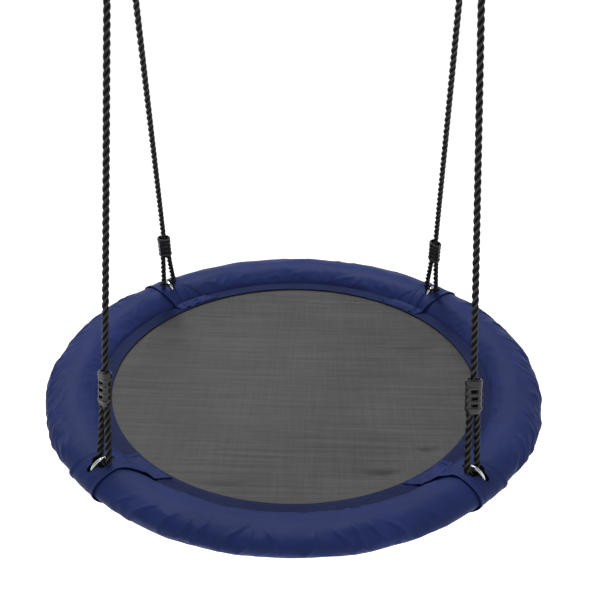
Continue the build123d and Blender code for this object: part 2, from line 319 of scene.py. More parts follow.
def floor_paint():
    """Plain pale studio floor that glows a little, so it doesn't darken under the swing."""
    material, tree, shader = new_material("studio_floor")
    tone = noise_field(tree, texture_space(tree, "Object"), scale=2.0, detail=2.0)
    colour = ramp(tree, tone, [(0.3, 0.965), (0.7, 0.975)])
    link(tree, (colour, shader.inputs["Base Color"]))
    set_inputs(shader, {"Roughness": 0.8, "Emission Color": (1, 1, 1, 1), "Emission Strength": 0.6})
    return material


NAVY = navy_cloth("navy_oxford_cloth", ((0.0092, 0.0170, 0.078), (0.0150, 0.0270, 0.120)))
# Painted shade: the hem's cloth is the same navy cloth made darker, so the flat hem doesn't look brighter
# than the pad beside it.
SHADED_HEM_NAVY = navy_cloth("navy_hem_cloth_painted_shade", ((0.0055, 0.0105, 0.048), (0.0085, 0.0160, 0.070)))
THREAD = fine_grained("navy_sewing_thread", 1500.0, (0.010, 0.016, 0.055), (0.022, 0.032, 0.098))
MESH = mat_mesh()
ROPE = rope_fibre()
PLASTIC = moulded_plastic()
ZINC = zinc_steel()
COATED = fine_grained("black_powder_coat", 700.0, (0.010, 0.010, 0.011), (0.017, 0.017, 0.018))
FOAM = foam_rubber()


# ---- mesh helpers ----
def ease(value, low, high):
    """0 below low, 1 above high, smooth between."""
    x = min(1.0, max(0.0, (value - low) / (high - low)))
    return x * x * (3 - 2 * x)


def new_piece(name, vertices, faces, material, uvs=None, smooth=True):
    """A mesh object from its points and faces, with a UV for each vertex if given."""
    mesh = bpy.data.meshes.new(name)
    mesh.from_pydata([tuple(v) for v in vertices], [], faces)
    mesh.materials.append(material)
    if uvs is not None:
        layer = mesh.uv_layers.new(name="surface")
        for loop in mesh.loops:
            layer.data[loop.index].uv = uvs[loop.vertex_index]
    if smooth:
        mesh.shade_smooth()
    piece = bpy.data.objects.new(name, mesh)
    bpy.context.scene.collection.objects.link(piece)
    return piece


def thicken(piece, thickness):
    """Gives a one-sided skin its thickness, inwards, and turns its modifiers into mesh."""
    solid = piece.modifiers.new("thickness", "SOLIDIFY")
    solid.thickness = thickness
    solid.offset = -1
    bpy.context.view_layer.update()
    graph = bpy.context.evaluated_depsgraph_get()
    made = bpy.data.meshes.new_from_object(piece.evaluated_get(graph))
    piece.modifiers.clear()
    old, piece.data = piece.data, made
    bpy.data.meshes.remove(old)


def grid_faces(rows, columns, close_columns=False, start=0):
    """Quads between neighbouring rows of points."""
    faces = []
    last = columns if close_columns else columns - 1
    for i in range(rows - 1):
        for j in range(last):
            k = (j + 1) % columns
            a, b = start + i * columns, start + (i + 1) * columns
            faces.append((a + j, a + k, b + k, b + j))
    return faces


# ---- corners and rope routes, as in the CAD model ----
def corner_frame(name):
    """Directions of one corner, with its ring's top and its rope's eye."""
    azimuth = radians(CORNERS[name])
    out = Vector((cos(azimuth), sin(azimuth), 0))
    tangent = Vector((-sin(azimuth), cos(azimuth), 0))
    tube = out * FRAME_R + Vector((0, 0, SEAT_Z))
    side = 1 if out.x > 0 else -1
    front = 1 if out.y < 0 else -1
    eye = Vector((side * (HANG_SPACING / 2 + front * EYE_OFFSET), 0, AXIS_Z))
    pull = (eye - tube).normalized()
    up = (pull - tangent * pull.dot(tangent)).normalized()
    centre = tube + up * ((RING_BORE_D - TUBE_D) / 2 - RING_PLAY)
    top = centre + up * RING_R
    along = (eye - top).normalized()
    across = (tangent - along * tangent.dot(along)).normalized()
    turned = Quaternion(along, radians(ADJUSTER_TURNS[name])) @ across
    eye_side = Vector((1, 0, 0)).cross(along).normalized()
    return {
        "out": out, "top": top, "eye": eye, "along": along, "across": across, "turned": turned,
        "eye_side": eye_side,
    }


def rope_points(corner):
    """Route of one rope, with a point near each corner of its straight legs."""
    low, high = corner["top"], corner["eye"]
    along, across, eye_side = corner["along"], corner["across"], corner["eye_side"]
    pair = corner["turned"] * PAIR_HALF
    start = ADJUSTER_START
    end = ADJUSTER_START + ADJUSTER_LENGTH
    near_ring, near_eye = 0.020, 0.024
    ring_spread, eye_spread = 0.85, 0.5
    run_up = PAIR_HALF + (LOOP_SPREAD - PAIR_HALF) * ring_spread
    eye_up = PAIR_HALF + (EYE_CORNER - PAIR_HALF) * eye_spread
    return [
        low - pair + along * (start + TAIL_IN_ADJUSTER),
        low - pair + along * start,
        low - across * run_up - along * (LOOP_R - near_ring),
        low - across * LOOP_SPREAD - along * LOOP_R,
        low + across * LOOP_SPREAD - along * LOOP_R,
        low + across * run_up - along * (LOOP_R - near_ring),
        low + pair + along * start,
        low + pair + along * (start + LEG_IN_ADJUSTER),
        low + along * end,
        low + along * (end + LEG_IN_ADJUSTER),
        high + eye_side * PAIR_HALF - along * (FERRULE_START + FERRULE_LENGTH),
        high + eye_side * PAIR_HALF - along * FERRULE_START,
        high + eye_side * eye_up + along * (EYE_R - near_eye),
        high + eye_side * EYE_CORNER + along * EYE_R,
        high - eye_side * EYE_CORNER + along * EYE_R,
        high - eye_side * eye_up + along * (EYE_R - near_eye),
        high - eye_side * PAIR_HALF - along * FERRULE_START,
        high - eye_side * PAIR_HALF - along * (FERRULE_START + TAIL_IN_FERRULE),
    ]


def spline_line(name, points):
    """Points along the smooth curve of a route, read from its NURBS spline."""
    curve = bpy.data.curves.new(name, "CURVE")
    curve.dimensions = "3D"
    curve.resolution_u = 24
    spline = curve.splines.new("NURBS")
    spline.points.add(len(points) - 1)
    for slot, point in zip(spline.points, points):
        slot.co = (*point, 1)
    spline.order_u = 3
    spline.use_endpoint_u = True
    carrier = bpy.data.objects.new(name, curve)
    bpy.context.scene.collection.objects.link(carrier)
    line_mesh = bpy.data.meshes.new_from_object(carrier)
    line = [v.co.copy() for v in line_mesh.vertices]
    bpy.data.objects.remove(carrier)
    bpy.data.curves.remove(curve)
    bpy.data.meshes.remove(line_mesh)
    return line


def line_length(line):
    """Length along a list of points."""
    return sum((b - a).length for a, b in zip(line, line[1:]))


def even_line(line, step):
    """The same line with points an even step apart."""
    total = line_length(line)
    count = max(2, round(total / step))
    spacing = total / count
    points, walked, wanted = [line[0]], 0.0, spacing
    for a, b in zip(line, line[1:]):
        reach = (b - a).length
        while reach > 0 and walked + reach >= wanted - 1e-12 and len(points) < count:
            points.append(a.lerp(b, (wanted - walked) / reach))
            wanted += spacing
        walked += reach
    points.append(line[-1])
    return points


# ---- ropes: three strands laid together ----
STRAND_OFFSET = 0.0033
STRAND_R = 0.0029
LAY_LENGTH = 0.042
ROPE_STEP = 0.0018
ROPE_SIDES = 48
# The rope is cut at this share of the adjuster's length, and its legs bend from this far over the ring.
CUT_SHARE = 0.8


def lobed_radius(angle):
    """Radius of three strands' outline at that angle from one strand's middle."""
    near = (angle + pi / 3) % (2 * pi / 3) - pi / 3
    return STRAND_OFFSET * cos(near) + sqrt(STRAND_R**2 - (STRAND_OFFSET * sin(near)) ** 2)


def laid_rope(name, line, side, walked):
    """Twisted rope round a line, and its last side; side and walked carry on the piece before it."""
    tangents = [(b - a).normalized() for a, b in zip(line, line[1:])]
    tangents.append(tangents[-1])
    vertices, uvs = [], []
    for i, point in enumerate(line):
        if i:
            walked += (point - line[i - 1]).length
        side = (side - tangents[i] * side.dot(tangents[i])).normalized()
        other = tangents[i].cross(side)
        for j in range(ROPE_SIDES):
            angle = 2 * pi * j / ROPE_SIDES
            turn = angle + 2 * pi * walked / LAY_LENGTH
            radius = lobed_radius(angle)
            vertices.append(point + (side * cos(turn) + other * sin(turn)) * radius)
            # The second UV coordinate is 1 on a strand's crest and 0 in the valley between strands; the
            # rope's material takes its shine and its painted valley shade from it.
            uvs.append((walked, 0.5 + 0.5 * cos(3 * angle)))
    faces = grid_faces(len(line), ROPE_SIDES, close_columns=True)
    faces.append(tuple(range(ROPE_SIDES - 1, -1, -1)))
    last = (len(line) - 1) * ROPE_SIDES
    faces.append(tuple(range(last, last + ROPE_SIDES)))
    return new_piece(name, vertices, faces, ROPE, uvs), side


for name in CORNERS:
    corner = corner_frame(name)
    line = even_line(spline_line(f"route_{name}", rope_points(corner)), ROPE_STEP)
    seam = corner["top"] + corner["along"] * (ADJUSTER_START + ADJUSTER_LENGTH * CUT_SHARE)
    past_loop = len(line) // 8
    cut = min(range(past_loop, len(line)), key=lambda i: (line[i] - seam).length)
    lower, upper = line[: cut + 1], line[cut:]
    low_rope, side = laid_rope(f"rope_loop_{name}", lower, corner["out"], 0.0)
    high_rope, _ = laid_rope(f"rope_line_{name}", upper, side, line_length(lower))
    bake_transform(low_rope)
    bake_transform(high_rope)
    for piece, path in ((low_rope, lower), (high_rope, upper)):
        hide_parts(f"rope_{name}")


# ---- rope adjusters: moulded shells, windows open in the outer face and blind in the inner one ----
SHELL_HALF_WIDTH = 0.0137
SHELL_HALF_DEPTH = 0.0080
SHELL_WALL = 0.0012
WINDOW_HALF_WIDTH = 0.0065
BLIND_DEPTH = 0.0006
WINDOW_HALF_HEIGHT = 0.0030
SIDE_HOLE_HALF_WIDTH = 0.0025
SIDE_HOLE_HALF_HEIGHT = 0.00375
OPENING_HEIGHTS = (0.016, 0.0285, 0.041)
OPENING_PITCH = 0.0125
# Where each step of the shell's outline begins and ends, in metres from its foot.
FOOT_TAPER = (0.0, 0.006)
COLLAR_STEP = (0.006, 0.0066)
COLLAR_END = (0.0105, 0.011)
RAILS_END = (0.0470, 0.0475)
RIBS_END = 0.050
MOUTH_STEP = (0.0505, 0.0512)
MOUTH_TAPER = (0.0585, ADJUSTER_LENGTH)
FOOT_NARROWER = 0.0022
COLLAR_PROUD = 0.0005
MOUTH_PROUD = 0.0010
MOUTH_NARROWER = 0.0024
RIB_PROUD = 0.0010
RAIL_PROUD = 0.0006
FACE_SUNK = 0.0002
RUNG_PROUD = 0.0007
RUNG_WIDTH = 0.18
SHELL_ROWS = 142


def slot_outline(straight_steps, arc_steps):
    """Columns round a slot-shaped section: (straight share, arc angle) of each."""
    columns = []
    for side in (1, -1):
        for i in range(straight_steps):
            columns.append((side * (2 * i / straight_steps - 1), pi / 2 if side > 0 else -pi / 2))
        for i in range(arc_steps):
            angle = pi / 2 - pi * i / arc_steps
            columns.append((side, angle if side > 0 else pi + angle))
    return columns


def shell_growth(height, share, angle):
    """How far the shell stands out of its plain section: collar, rails, rungs, ribs and mouth."""
    foot = -FOOT_NARROWER * (1 - ease(height, *FOOT_TAPER)) + COLLAR_PROUD * ease(height, *COLLAR_STEP)
    foot -= COLLAR_PROUD * ease(height, *COLLAR_END)
    mouth = MOUTH_PROUD * ease(height, *MOUTH_STEP) - MOUTH_NARROWER * ease(height, *MOUTH_TAPER)
    from_first = height - OPENING_HEIGHTS[0]
    rib = RIB_PROUD * (0.5 + 0.5 * cos(2 * pi * from_first / OPENING_PITCH + pi))
    side_share = abs(cos(angle)) ** 3
    beside = ease(abs(share) + abs(cos(angle)), 1.02, 1.06)
    framed = max(beside, 1 - ease(height, *COLLAR_END), ease(height, *RAILS_END))
    rail = RAIL_PROUD * framed - FACE_SUNK
    between = sin(pi * from_first / OPENING_PITCH) ** 2 - 1
    rung = RUNG_PROUD * exp(-((between / RUNG_WIDTH) ** 2))
    ribs = rung * (1 - side_share) + rib * side_share
    return foot + mouth + rail + ribs * ease(RIBS_END - height, 0.0, 0.002)


def in_window(x, height):
    """Whether a place on a wide face falls in a window."""
    level = any(abs(height - middle) < WINDOW_HALF_HEIGHT for middle in OPENING_HEIGHTS)
    return level and abs(x) < WINDOW_HALF_WIDTH


def in_opening(x, y, height):
    """Whether a place on the shell falls in an open window or an oval side hole."""
    if y < 0 and in_window(x, height):
        return True
    for middle in OPENING_HEIGHTS:
        away = abs(height - middle)
        oval = (away / SIDE_HOLE_HALF_HEIGHT) ** 2 + (y / SIDE_HOLE_HALF_WIDTH) ** 2
        if oval < 1 and abs(x) > SHELL_HALF_DEPTH:
            return True
    return False


def adjuster_shell(name):
    """One rope adjuster, round the rope's tail and legs."""
    corner = corner_frame(name)
    wide, along = corner["turned"], corner["along"]
    thick = along.cross(wide)
    foot = corner["top"] + along * ADJUSTER_START
    columns = slot_outline(straight_steps=32, arc_steps=44)
    places = []
    for i in range(SHELL_ROWS):
        height = ADJUSTER_LENGTH * i / (SHELL_ROWS - 1)
        for share, angle in columns:
            radius = SHELL_HALF_DEPTH + shell_growth(height, share, angle)
            x = share * (SHELL_HALF_WIDTH - SHELL_HALF_DEPTH) + radius * cos(angle)
            y = radius * sin(angle)
            if y > 0 and in_window(x, height):
                y -= BLIND_DEPTH
            places.append((x, y, height))
    faces = []
    for face in grid_faces(SHELL_ROWS, len(columns), close_columns=True):
        middle = [sum(places[k][axis] for k in face) / len(face) for axis in range(3)]
        if not in_opening(*middle):
            faces.append(tuple(reversed(face)))
    vertices = [foot + wide * x + thick * y + along * z for x, y, z in places]
    piece = new_piece(f"adjuster_shell_{name}", vertices, faces, PLASTIC)
    thicken(piece, SHELL_WALL)
    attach(piece, f"adjuster_{name}")
    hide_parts(f"rope_adjuster_{name}")


for name in CORNERS:
    adjuster_shell(name)


# ---- the pad's section: a teardrop round the frame tube, with its tip towards the mat ----
SEAM_ANGLE = radians(-25)
SEAM_WIDTH = 0.05
WELT_ANGLE = 0.11
SEAM_PROUD = 0.0009
HEM_IN_PAD = 0.007
HEM_OUT_R = FRAME_R - PAD_IN + HEM_IN_PAD
NORMAL_STEP = 0.01


def pad_point(angle, lift):
    """Radius and height of the pad's skin at an angle round the tube, lifted off along its normal."""
    def outline(turn):
        width = PAD_OUT if cos(turn) > 0 else PAD_IN
        x = width * cos(turn)
        drop = PAD_TIP_DROP * (x / width) ** 2 if x < 0 else 0
        return x, PAD_HALF_HEIGHT * sin(turn) - drop

    x, z = outline(angle)
    x1, z1 = outline(angle - NORMAL_STEP)
    x2, z2 = outline(angle + NORMAL_STEP)
    length = sqrt((x2 - x1) ** 2 + (z2 - z1) ** 2)
    return FRAME_R + x + (z2 - z1) / length * lift, z - (x2 - x1) / length * lift


def polar(radius, azimuth, height):
    """A point from its radius, azimuth in radians and height over the frame tube's middle."""
    return Vector((radius * cos(azimuth), radius * sin(azimuth), SEAT_Z + height))


def from_seam(angle):
    """Turn from the outer seam, positive over the top."""
    return (angle - SEAM_ANGLE + pi) % (2 * pi) - pi


def creases(across, along, seed):
    """Ridged noise from about -1 to 1: narrow valleys between rounded folds."""
    value = noise.noise(Vector((across, along, seed)))
    finer = noise.noise(Vector((across * 2.1 + 7.0, along * 1.4, seed + 3.0)))
    return 1 - 2.6 * abs(value) ** 0.75 + 0.35 * finer


# Where troughs between folds stop, the share of their depth kept below it, and the cloth's own lift.
LIFT_LOW = -0.0004
TROUGH_SHARE = 0.12
CLOTH_LIFT = 0.0004
# Sideways sway of the folds, small folds on the pad's inner slope, and broad dents all over.
FOLD_SWAY = 0.016
INNER_FOLD = 0.0013
INNER_FOLD_PITCH = 0.030
DENT = 0.0024
# Each side's folds: height, spacing, how far over the top they reach, slant and noise seed.
FOLDS = {
    "front": (0.0012, 0.036, 1.75, 0.050, 1.7),
    "right": (0.0022, 0.030, 1.75, -0.150, 5.2),
    "back": (0.0018, 0.036, 1.30, 0.020, 9.4),
    "left": (0.0022, 0.030, 1.75, 0.150, 13.1),
}
# The front panel's pressed folds: degrees from its middle, height, half width and lean of each.
FRONT_FOLDS = (
    (-35.0, 0.0022, 0.0060, 0.020),
    (-29.7, 0.0042, 0.0075, 0.024),
    (-23.3, 0.0034, 0.0065, 0.012),
    (-19.8, 0.0036, 0.0055, 0.018),
    (-16.2, 0.0044, 0.0060, 0.006),
    (-10.9, 0.0044, 0.0062, 0.022),
    (-7.4, 0.0036, 0.0058, 0.016),
    (-1.1, 0.0042, 0.0068, -0.012),
    (4.8, 0.0028, 0.0060, 0.010),
    (12.0, 0.0044, 0.0056, -0.014),
    (15.2, 0.0040, 0.0052, -0.018),
    (18.6, 0.0034, 0.0058, -0.008),
    (22.9, 0.0050, 0.0060, -0.024),
    (31.0, 0.0018, 0.0080, -0.016),
)
# A side panel's folds: how many, the first one's place and their pitch in degrees, and half width.
SIDE_FOLDS = 24
SIDE_FOLD_FIRST = -40
SIDE_FOLD_PITCH = 3.45
SIDE_FOLD_HALF_WIDTH = 0.0058


def slanted_folds(lean, seed):
    """Folds of a side panel, gathered along its seam and slanting back over the top."""
    folds = []
    for i in range(SIDE_FOLDS):
        wander = noise.noise(Vector((i * 0.7, seed, 0)))
        tall = 0.0030 + 0.0022 * noise.noise(Vector((i * 1.3, seed, 5)))
        middle = SIDE_FOLD_FIRST + i * SIDE_FOLD_PITCH + 2.4 * wander
        folds.append((middle, tall, SIDE_FOLD_HALF_WIDTH, lean * (1 + 0.5 * wander)))
    return folds


# A fold's steep and gentle flanks as shares of its half width, and, in radians over the top from the seam,
# where it starts, where it crosses its own place, how long it takes to rise and where it fades.
STEEP_FLANK, GENTLE_FLANK = 0.55, 1.25
FRONT_FOLD_START, SIDE_FOLD_START = 0.05, -0.1
FOLD_PIVOT = 0.7
FOLD_RISE = 0.5
FOLD_FADE, FOLD_GONE = 1.25, 2.05
PRESSED_FOLDS = {
    "front": FRONT_FOLDS,
    "right": slanted_folds(0.040, 2.6),
    "back": (),
    "left": slanted_folds(-0.040, 8.3),
}


def pressed_folds(side, place, top):
    """Height of one panel's folds: ridges with one steep flank that bend over the top."""
    middle = radians(45 - CORNER_GAP_ANGLE) * FRAME_R
    low = FRONT_FOLD_START if side == "front" else SIDE_FOLD_START
    height = 0.0
    for degrees_off, tall, half_width, lean in PRESSED_FOLDS[side]:
        bend = 0.005 * sin(top * 3.1 + degrees_off)
        away = place - middle - radians(degrees_off) * FRAME_R - lean * (top - FOLD_PIVOT) - bend
        flank = half_width * (STEEP_FLANK if away * lean > 0 else GENTLE_FLANK)
        gone = FOLD_GONE + 0.2 * sin(degrees_off)
        reach = ease(top, low, low + FOLD_RISE) * (1 - ease(top, FOLD_FADE, gone))
        height += tall * reach * exp(-abs(away / flank) ** 1.5)
    return height


def panel_lift(side, place, angle, end_distance):
    """How far the cover stands off its plain section, from gathers, dents and the outer seam."""
    height, spacing, reach, slant, seed = FOLDS[side]
    turn = from_seam(angle)
    top = max(turn, 0.0)
    under = max(-turn, 0.0)
    sway = FOLD_SWAY * noise.noise(Vector((place * 11, top * 1.9, seed)))
    local_reach = reach * (1 + 0.55 * noise.noise(Vector((place * 8, seed, 0))))
    local_height = height * (0.85 + 0.9 * noise.noise(Vector((place * 12 + 5, top * 0.8, seed))))
    fold = creases((place + slant * top * 0.3 + sway) / spacing, top * 0.9, seed)
    fade = exp(-((top / local_reach) ** 4)) * exp(-((under / 0.55) ** 2))
    gather = local_height * (fold + 0.45) * fade * (0.30 + 0.70 * ease(abs(turn), 0.03, 0.30))
    inner = INNER_FOLD * creases(place / INNER_FOLD_PITCH, cos(angle) * 3, seed + 20)
    inner *= ease(-cos(angle), 0.35, 0.75)
    dents = DENT * noise.noise(Vector((place * 14, sin(angle) * 1.6, cos(angle) * 1.6 + seed)))
    groove = exp(-((turn / SEAM_WIDTH) ** 2))
    welt = exp(-(((turn + WELT_ANGLE) / SEAM_WIDTH) ** 2))
    seam = SEAM_PROUD * (1 - 1.6 * groove) + SEAM_PROUD * welt
    tip = ease(1 + cos(angle), 0.0, 0.12)
    near_end = ease(end_distance, 0.030, 0.085)
    gather += pressed_folds(side, place, top)
    wrinkles = (gather + inner + dents) * near_end * tip
    return max(wrinkles, LIFT_LOW + wrinkles * TROUGH_SHARE) + seam * near_end + CLOTH_LIFT


def cover_panel(side, azimuth):
    """One quarter of the padded cover: a gathered cloth sleeve with a seam along its outer edge."""
    columns, rows = 330, 96
    first = radians(azimuth - 45 + CORNER_GAP_ANGLE)
    span = radians(90 - 2 * CORNER_GAP_ANGLE)
    vertices, uvs = [], []
    for i in range(columns):
        share = i / (columns - 1)
        turn = first + span * share
        place = share * span * FRAME_R
        end_distance = min(share, 1 - share) * span * FRAME_R
        for j in range(rows):
            angle = 2 * pi * j / rows
            radius, height = pad_point(angle, panel_lift(side, place, angle, end_distance))
            vertices.append(polar(radius, turn, height))
            uvs.append((place, angle * PAD_MEAN_R))
    faces = [tuple(reversed(f)) for f in grid_faces(columns, rows, close_columns=True)]
    piece = new_piece(f"padded_panel_{side}", vertices, faces, NAVY, uvs)
    thicken(piece, CLOTH)
    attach(piece, "seat")
    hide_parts(f"cover_panel_{side}")


# ---- stitches ----
STITCH_LENGTH = 0.0034
STITCH_PITCH = 0.0044
STITCH_R = 0.00042
# A stitch's eight points are its two tips, then one side, the top and the other side near each tip.
STITCH_FACES = ((0, 3, 2), (0, 4, 3), (1, 5, 6), (1, 6, 7), (2, 3, 6, 5), (3, 4, 7, 6))


def sewn_row(line):
    """Short threads along a line of (point, normal), as vertices and faces."""
    vertices, faces = [], []
    walked, wanted = 0.0, 0.0
    for (a, up), (b, _) in zip(line, line[1:]):
        reach = (b - a).length
        forward = (b - a).normalized()
        sideways = forward.cross(up).normalized() * STITCH_R
        while walked + reach > wanted:
            middle = a + forward * (wanted - walked)
            start = len(vertices)
            half = forward * STITCH_LENGTH / 2
            rise = up * STITCH_R
            vertices += [middle - half - rise, middle + half - rise]
            for shift in (-0.25, 0.25):
                at = middle + half * 2 * shift
                vertices += [at + sideways, at + rise, at - sideways]
            faces += [tuple(start + corner for corner in face) for face in STITCH_FACES]
            wanted += STITCH_PITCH
        walked += reach
    return vertices, faces


def sewn_rows(name, lines):
    """Every row of stitches of one piece as one mesh that rides the seat."""
    vertices, faces = [], []
    for line in lines:
        row_vertices, row_faces = sewn_row(line)
        faces += [tuple(len(vertices) + i for i in face) for face in row_faces]
        vertices += row_vertices
    piece = new_piece(name, vertices, faces, THREAD)
    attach(piece, "seat")


# ---- hem band: flat doubled cloth with rows of stitching ----
STITCH_ROWS = (0.3865, 0.3915, 0.3965, 0.4015, 0.4065)
HEM_PUFF = 0.0007
HEM_SUNK = 0.0005
HEM_PUCKER = 0.0004
HEM_EDGE = 0.0015
HEM_EDGE_DROP = 0.0009
HEM_SKIN_THINNER = 0.0006


def hem_lift(radius, azimuth):
    """Height of the hem's quilted top over its flat CAD face."""
    row = min(abs(radius - r) for r in STITCH_ROWS)
    puff = HEM_PUFF * ease(row, 0.0, 0.0022) - HEM_SUNK
    pucker = HEM_PUCKER * noise.noise(Vector((azimuth * 90, radius * 160, 0)))
    return puff + pucker


def hem_band():
    """The flat hem that joins the mat to the padded cover."""
    columns, rows = 720, 28
    vertices, uvs = [], []
    for i in range(columns):
        azimuth = 2 * pi * i / columns
        for j in range(rows):
            radius = HEM_R + (HEM_OUT_R - HEM_R) * j / (rows - 1)
            rounded = HEM_EDGE_DROP * (1 - ease(radius, HEM_R, HEM_R + HEM_EDGE))
            height = HEM_TOP + hem_lift(radius, azimuth) - rounded
            vertices.append(polar(radius, azimuth, height))
            uvs.append((azimuth * radius, radius))
    last = (columns - 1) * rows
    closing = [(last + j, last + j + 1, j + 1, j) for j in range(rows - 1)]
    faces = [tuple(reversed(f)) for f in grid_faces(columns, rows) + closing]
    # The hem uses the darker navy cloth: painted shade.
    piece = new_piece("hem_band_sewn", vertices, faces, SHADED_HEM_NAVY, uvs)
    thicken(piece, HEM_THICK - HEM_SKIN_THINNER)
    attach(piece, "seat")
    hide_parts("hem_band")


def hem_stitches():
    """Five rings of stitches that hold the mat to the hem."""
    steps = 720
    rows = []
    for radius in STITCH_ROWS:
        height = HEM_TOP + hem_lift(radius, 0) + STITCH_R
        ring = [polar(radius, 2 * pi * i / steps, height) for i in range(steps + 1)]
        rows.append([(point, Vector((0, 0, 1))) for point in ring])
    sewn_rows("hem_stitches", rows)


for side, azimuth in SIDES.items():
    cover_panel(side, azimuth)
hem_band()
hem_stitches()


# ---- corner cuffs: cloth wraps with a buttonhole slit for the ring ----
SLIT_HALF_LENGTH = 0.027
SLIT_HALF_WIDTH = 0.0178
SLIT_END_HALF_WIDTH = 0.0066
SLIT_SPREAD = 0.0100
CUFF_CLEAR = 0.0005
CUFF_COLUMNS = 22
CUFF_LIFT_LOW = -0.0002
# Half the turn at the pad's tip that the cuff's round part leaves out, in radians.
TIP_GAP = 0.20
CUFF_SEAM = 0.0085
CUFF_SEAM_WIDTH = 0.0012
CUFF_HEM_PROUD = 0.0007
CUFF_GROOVE = 0.0006
CUFF_GAPE = 0.0011
CUFF_GAPE_WIDTH = 0.012
SLIT_SEAM = 0.0035
SLIT_LIP_PROUD = 0.0012
SLIT_LIP_WIDTH = 0.0022
LIP_R = 0.386
LIP_GAP = 0.0003
WELD_DISTANCE = 0.00002
# Half the cuff's width in degrees: over the pad, added towards the mat, under it, at the bottom lip.
CUFF_HALF_ANGLE = 4.4
CUFF_FLARE_ANGLE = 5.2
CUFF_LIP_FLARE = 3.6
CUFF_UNDER_ANGLE = 1.4
CUFF_BOTTOM_ANGLE = 6.5
# The two sharp folds of a back cuff: height, then degrees from its middle, lean and half width.
BACK_CUFF_FOLDS = ((0.0034, 0.4, 0.5, 0.55), (0.0026, 2.4, 1.6, 0.65))
# The flare of the edge by the front or back panel and of the edge by a side panel.
WIDE_FLARE, NARROW_FLARE = 1.0, -0.3
# Azimuths of the corners whose counterclockwise side is the front or back panel.
FRONT_OR_BACK_FIRST = (225, 45)


def cuff_path():
    """Stations along the cuff's section, from the top lip round the pad to the bottom lip."""
    stations = []
    lip_steps, round_steps = 10, 96
    for i in range(lip_steps):
        stations.append(("top", i / lip_steps))
    for i in range(round_steps + 1):
        angle = pi - TIP_GAP - (2 * pi - 2 * TIP_GAP) * i / round_steps
        stations.append(("pad", angle))
    for i in range(lip_steps):
        stations.append(("bottom", (i + 1) / lip_steps))
    return stations


def cuff_half_angle(station, flare):
    """Half the cuff's width in degrees: narrow over the pad, flared towards the mat."""
    kind, value = station
    if kind == "top":
        return CUFF_HALF_ANGLE + flare * (CUFF_FLARE_ANGLE + CUFF_LIP_FLARE * (1 - value) ** 1.6)
    if kind == "bottom":
        return CUFF_BOTTOM_ANGLE
    if value > 0:
        return CUFF_HALF_ANGLE + CUFF_FLARE_ANGLE * flare * ease(value, radians(100), radians(172))
    return CUFF_HALF_ANGLE + CUFF_UNDER_ANGLE * ease(-value, radians(10), radians(60))


def slit_half_width(radius, angle):
    """Half the slit's width at a radius on the pad's top."""
    if angle <= 0:
        return 0.0
    place = (radius - FRAME_R) / SLIT_HALF_LENGTH
    if abs(place) >= 1:
        return 0.0
    pushed = exp(-(((radius - FRAME_R) / SLIT_SPREAD) ** 4))
    half_width = SLIT_END_HALF_WIDTH + (SLIT_HALF_WIDTH - SLIT_END_HALF_WIDTH) * pushed
    return half_width * (1 - place**6) ** 0.5


def cuff_point(station, lift):
    """Radius and height of the cuff's skin at a station."""
    kind, value = station
    if kind == "pad":
        return pad_point(value, CLOTH + CUFF_CLEAR + lift)
    end_r, end_z = pad_point(pi - TIP_GAP if kind == "top" else pi + TIP_GAP, CLOTH + CUFF_CLEAR)
    over, under = HEM_TOP + LIP_GAP + CLOTH, MAT_TOP - MAT_THICK - LIP_GAP - CLOTH
    flat_z = over if kind == "top" else under
    away = 1 - value if kind == "top" else value
    radius = end_r + (LIP_R - end_r) * away
    height = end_z + (flat_z - end_z) * ease(away, 0.0, 0.45)
    return radius, height + (lift if kind == "top" else -lift)


def cuff_lift(name, station, radius, offset, edge):
    """Creases that run from the slit to the hem, a doubled edge and a slight gape at the free edge."""
    kind, angle = station
    seed = len(name) + CORNERS[name] * 0.37
    on_top = kind == "top" or (kind == "pad" and angle > 0)
    inner = ease(FRAME_R - radius, 0.0, 0.03) if on_top else 0.0
    spread = degrees(offset) / (1.2 + 5.0 * inner)
    radial = creases(spread * 1.3 + seed, inner * 0.8, seed) * 0.0024 * inner
    if name.startswith("back"):
        turned = degrees(offset) * (1 if name == "back_left" else -1)
        for height, middle, lean, half_width in BACK_CUFF_FOLDS:
            radial += height * inner * exp(-abs((turned + middle + lean * inner) / half_width) ** 1.5)
    round_pad = 0.0008 * noise.noise(Vector((degrees(offset) * 0.7, angle * 2.2, seed)))
    hem = CUFF_HEM_PROUD * ease(CUFF_SEAM - edge, 0.0, CUFF_SEAM_WIDTH)
    hem -= CUFF_GROOVE * exp(-(((edge - CUFF_SEAM) / CUFF_SEAM_WIDTH) ** 2))
    gape = CUFF_GAPE * ease(CUFF_GAPE_WIDTH - edge, 0.0, CUFF_GAPE_WIDTH)
    return max(radial + round_pad, CUFF_LIFT_LOW) + hem + (gape if kind == "pad" else 0.0)


def cuff_edges(name, station, side):
    """The slit's edge and the free edge at a station, as angles from the cuff's middle."""
    plain_r, _ = cuff_point(station, 0.0)
    slit = slit_half_width(plain_r, station[1] if station[0] == "pad" else 0.0) / FRAME_R
    beside_front_or_back = (side > 0) == (CORNERS[name] in FRONT_OR_BACK_FIRST)
    flare = WIDE_FLARE if beside_front_or_back else NARROW_FLARE
    return slit, radians(cuff_half_angle(station, flare))


def cuff_skin(name, station, side, offset, rise=0.0):
    """A point on the cuff's face at an angle from its middle, raised off it if asked."""
    plain_r, _ = cuff_point(station, 0.0)
    slit, half = cuff_edges(name, station, side)
    lift = cuff_lift(name, station, plain_r, side * offset, (half - offset) * plain_r)
    if slit > 0:
        lift += SLIT_LIP_PROUD * exp(-((max(0.0, offset - slit) * FRAME_R / SLIT_LIP_WIDTH) ** 2))
    radius, height = cuff_point(station, lift + rise)
    return polar(radius, radians(CORNERS[name]) + side * offset, height)


